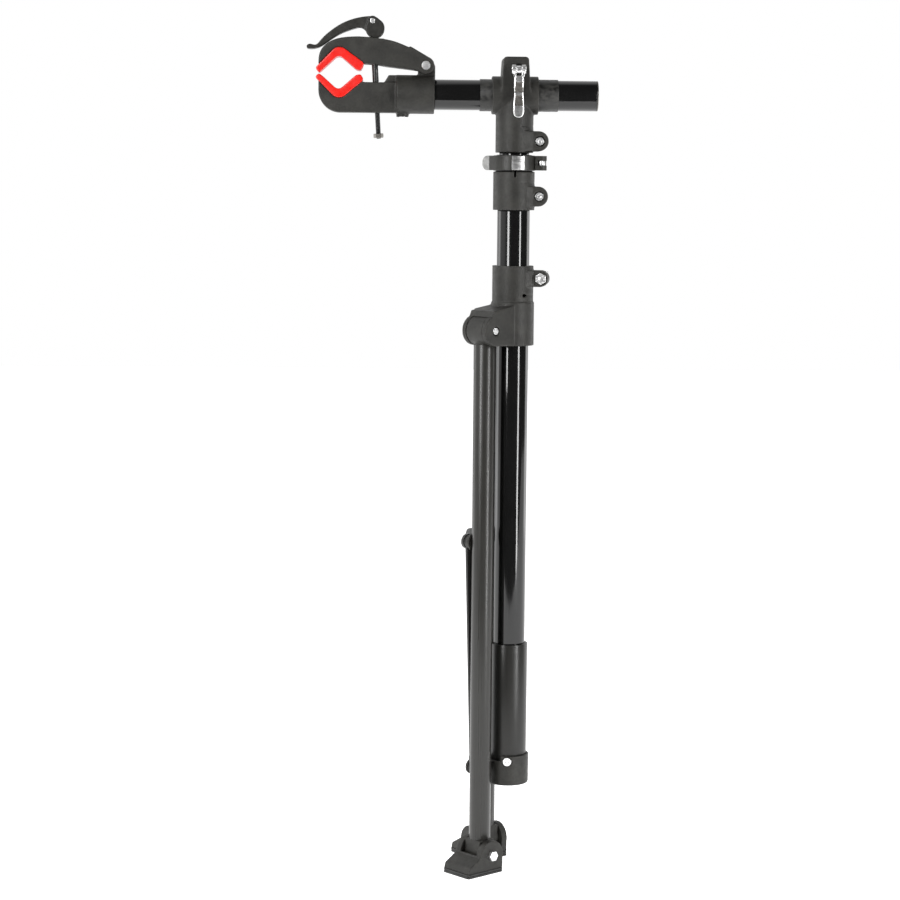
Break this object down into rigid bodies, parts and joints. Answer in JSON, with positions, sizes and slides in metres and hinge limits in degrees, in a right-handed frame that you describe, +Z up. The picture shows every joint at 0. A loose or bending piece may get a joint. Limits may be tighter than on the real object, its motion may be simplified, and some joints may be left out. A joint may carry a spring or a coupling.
{
  "type": "folding bicycle repair stand",
  "caption": "Folded two-legged repair stand with telescoping post, T-head clamp arm, red-padded cam jaw and swivelling feet.",
  "frame": {"origin": "centre of the base cap's flat bottom face, on the post's axis", "axes": "+Z up along the post; +X along the clamp arm away from the jaws; -Y towards the near leg and the head's quick-release lever"},
  "size_m": [0.3382, 0.1479, 1.0045],
  "materials": {
    "gloss_black_tube": "gloss black powder coat",
    "satin_black_tube": "satin black powder coat",
    "black_steel": "black painted steel",
    "sleeve_plastic": "satin black plastic",
    "black_casting": "matt black glass-filled nylon",
    "cam_lever_black": "matt black moulded lever",
    "red_rubber": "soft red rubber",
    "black_rubber": "black rubber tread",
    "silver_lever": "polished aluminium",
    "cup_plastic": "gloss black plastic",
    "zinc_steel": "bright zinc plate"
  },
  "bodies": {
    "post": {"outer_post": "gloss_black_tube", "post_sleeve": "sleeve_plastic", "base_cap": "black_casting", "base_cap_screw": "zinc_steel", "strut_pins": "zinc_steel", "post_socket": "black_casting", "socket_bolt": "zinc_steel", "socket_nut": "zinc_steel", "height_collar": "black_steel", "collar_bolt": "zinc_steel", "collar_nut": "zinc_steel"},
    "collar_lever": {"collar_lever": "silver_lever", "collar_cam_pin": "zinc_steel"},
    "inner_post": {"inner_post": "gloss_black_tube"},
    "head": {"head_casting": "black_casting", "stem_bolt": "zinc_steel", "stem_nut": "zinc_steel", "head_skewer": "zinc_steel", "head_cam_cup": "cup_plastic", "head_nut": "zinc_steel"},
    "head_lever": {"head_lever": "silver_lever", "head_cam_pin": "zinc_steel"},
    "arm_liner": {"arm_liner": "sleeve_plastic"},
    "arm": {"arm_tube": "gloss_black_tube", "arm_end_plug": "sleeve_plastic", "lower_jaw": "black_casting", "arm_socket_screw": "zinc_steel", "lower_jaw_pad": "red_rubber", "jaw_hinge_pin": "zinc_steel"},
    "upper_jaw": {"upper_jaw": "black_casting", "upper_jaw_pad": "red_rubber", "cam_saddle": "zinc_steel"},
    "rod_barrel": {"cam_barrel": "zinc_steel"},
    "clamp_rod": {"clamp_rod": "black_steel", "clamp_rod_nut": "zinc_steel"},
    "clamp_lever": {"clamp_lever": "cam_lever_black", "clamp_lever_pin": "zinc_steel"},
    "leg_hub": {"leg_hub": "black_casting", "hub_skewer": "zinc_steel", "hub_cam_cup": "cup_plastic", "hub_nut": "zinc_steel", "leg_pins": "zinc_steel"},
    "hub_lever": {"hub_lever": "silver_lever", "hub_cam_pin": "zinc_steel"},
    "near_leg": {"near_leg_tube": "satin_black_tube", "near_leg_knuckle": "black_casting", "near_leg_bracket": "black_casting", "near_leg_end": "black_casting"},
    "near_strut": {"near_strut": "black_steel"},
    "near_foot": {"near_foot_shell": "black_casting", "near_foot_sole": "black_rubber", "near_foot_bolt": "zinc_steel"},
    "far_leg": {"far_leg_tube": "satin_black_tube", "far_leg_knuckle": "black_casting", "far_leg_bracket": "black_casting", "far_leg_end": "black_casting"},
    "far_strut": {"far_strut": "black_steel"},
    "far_foot": {"far_foot_shell": "black_casting", "far_foot_sole": "black_rubber", "far_foot_bolt": "zinc_steel"}
  },
  "joints": [
    {"name": "height_slide", "type": "slide", "parent": "post", "child": "inner_post", "axis": [0, 0, 1], "range_m": [0, 0.5]},
    {"name": "head_swivel", "type": "hinge", "parent": "inner_post", "child": "head", "pos_m": [0, 0, 0.77], "axis": [0, 0, 1], "continuous": true},
    {"name": "collar_lever_pivot", "type": "hinge", "parent": "post", "child": "collar_lever", "pos_m": [0.031, -0.0138, 0.7359], "axis": [0, 0, 1], "range_deg": [0, 150]},
    {"name": "head_lever_pivot", "type": "hinge", "parent": "head", "child": "head_lever", "pos_m": [0.0025, -0.031, 0.8424], "axis": [-1, 0, 0], "range_deg": [0, 170]},
    {"name": "arm_turn", "type": "hinge", "parent": "head", "child": "arm_liner", "pos_m": [0, 0, 0.814], "axis": [1, 0, 0], "continuous": true},
    {"name": "arm_slide", "type": "slide", "parent": "arm_liner", "child": "arm", "axis": [1, 0, 0], "range_m": [-0.04, 0.045]},
    {"name": "jaw_pivot", "type": "hinge", "parent": "arm", "child": "upper_jaw", "pos_m": [-0.104, 0, 0.847], "axis": [0, 1, 0], "range_deg": [0, 15]},
    {"name": "rod_swing", "type": "hinge", "parent": "upper_jaw", "child": "rod_barrel", "pos_m": [-0.1658, 0, 0.8975], "axis": [0, 1, 0], "range_deg": [-6.3, 0.5]},
    {"name": "rod_turn", "type": "hinge", "parent": "rod_barrel", "child": "clamp_rod", "pos_m": [-0.1658, 0, 0.8975], "axis": [0.0572, 0, -0.9984], "continuous": true},
    {"name": "clamp_lever_pivot", "type": "hinge", "parent": "upper_jaw", "child": "clamp_lever", "pos_m": [-0.1658, 0, 0.8975], "axis": [0, 1, 0], "range_deg": [0, 110]},
    {"name": "hub_slide", "type": "slide", "parent": "post", "child": "leg_hub", "axis": [0, 0, -1], "range_m": [0, 0.32]},
    {"name": "hub_lever_pivot", "type": "hinge", "parent": "leg_hub", "child": "hub_lever", "pos_m": [0.03715, 0.01376, 0.602], "axis": [0, 0, -1], "range_deg": [0, 160]},
    {"name": "near_leg_fold", "type": "hinge", "parent": "leg_hub", "child": "near_leg", "pos_m": [-0.03371, -0.02828, 0.542], "axis": [-0.6428, 0.766, 0], "range_deg": [0, 71.12]},
    {"name": "near_strut_fold", "type": "hinge", "parent": "post", "child": "near_strut", "pos_m": [-0.03064, -0.02571, 0.021], "axis": [0.6428, -0.766, 0], "range_deg": [0, 60.49]},
    {"name": "near_foot_pivot", "type": "hinge", "parent": "near_leg", "child": "near_foot", "pos_m": [-0.03371, -0.02828, -0.079], "axis": [0.6428, -0.766, 0], "range_deg": [-15, 75]},
    {"name": "far_leg_fold", "type": "hinge", "parent": "leg_hub", "child": "far_leg", "pos_m": [-0.02524, 0.03604, 0.542], "axis": [0.8192, 0.5736, 0], "range_deg": [0, 71.12]},
    {"name": "far_strut_fold", "type": "hinge", "parent": "post", "child": "far_strut", "pos_m": [-0.02294, 0.03277, 0.021], "axis": [-0.8192, -0.5736, 0], "range_deg": [0, 60.49]},
    {"name": "far_foot_pivot", "type": "hinge", "parent": "far_leg", "child": "far_foot", "pos_m": [-0.02524, 0.03604, -0.079], "axis": [-0.8192, -0.5736, 0], "range_deg": [-15, 75]}
  ],
  "couplings": [
    {"joint": "rod_swing", "follows": "jaw_pivot", "ratio": -0.4},
    {"joint": "near_leg_fold", "follows": "hub_slide", "rad_per_m": 3.8737},
    {"joint": "near_strut_fold", "follows": "hub_slide", "rad_per_m": 3.2937},
    {"joint": "far_leg_fold", "follows": "hub_slide", "rad_per_m": 3.8737},
    {"joint": "far_strut_fold", "follows": "hub_slide", "rad_per_m": 3.2937}
  ]
}
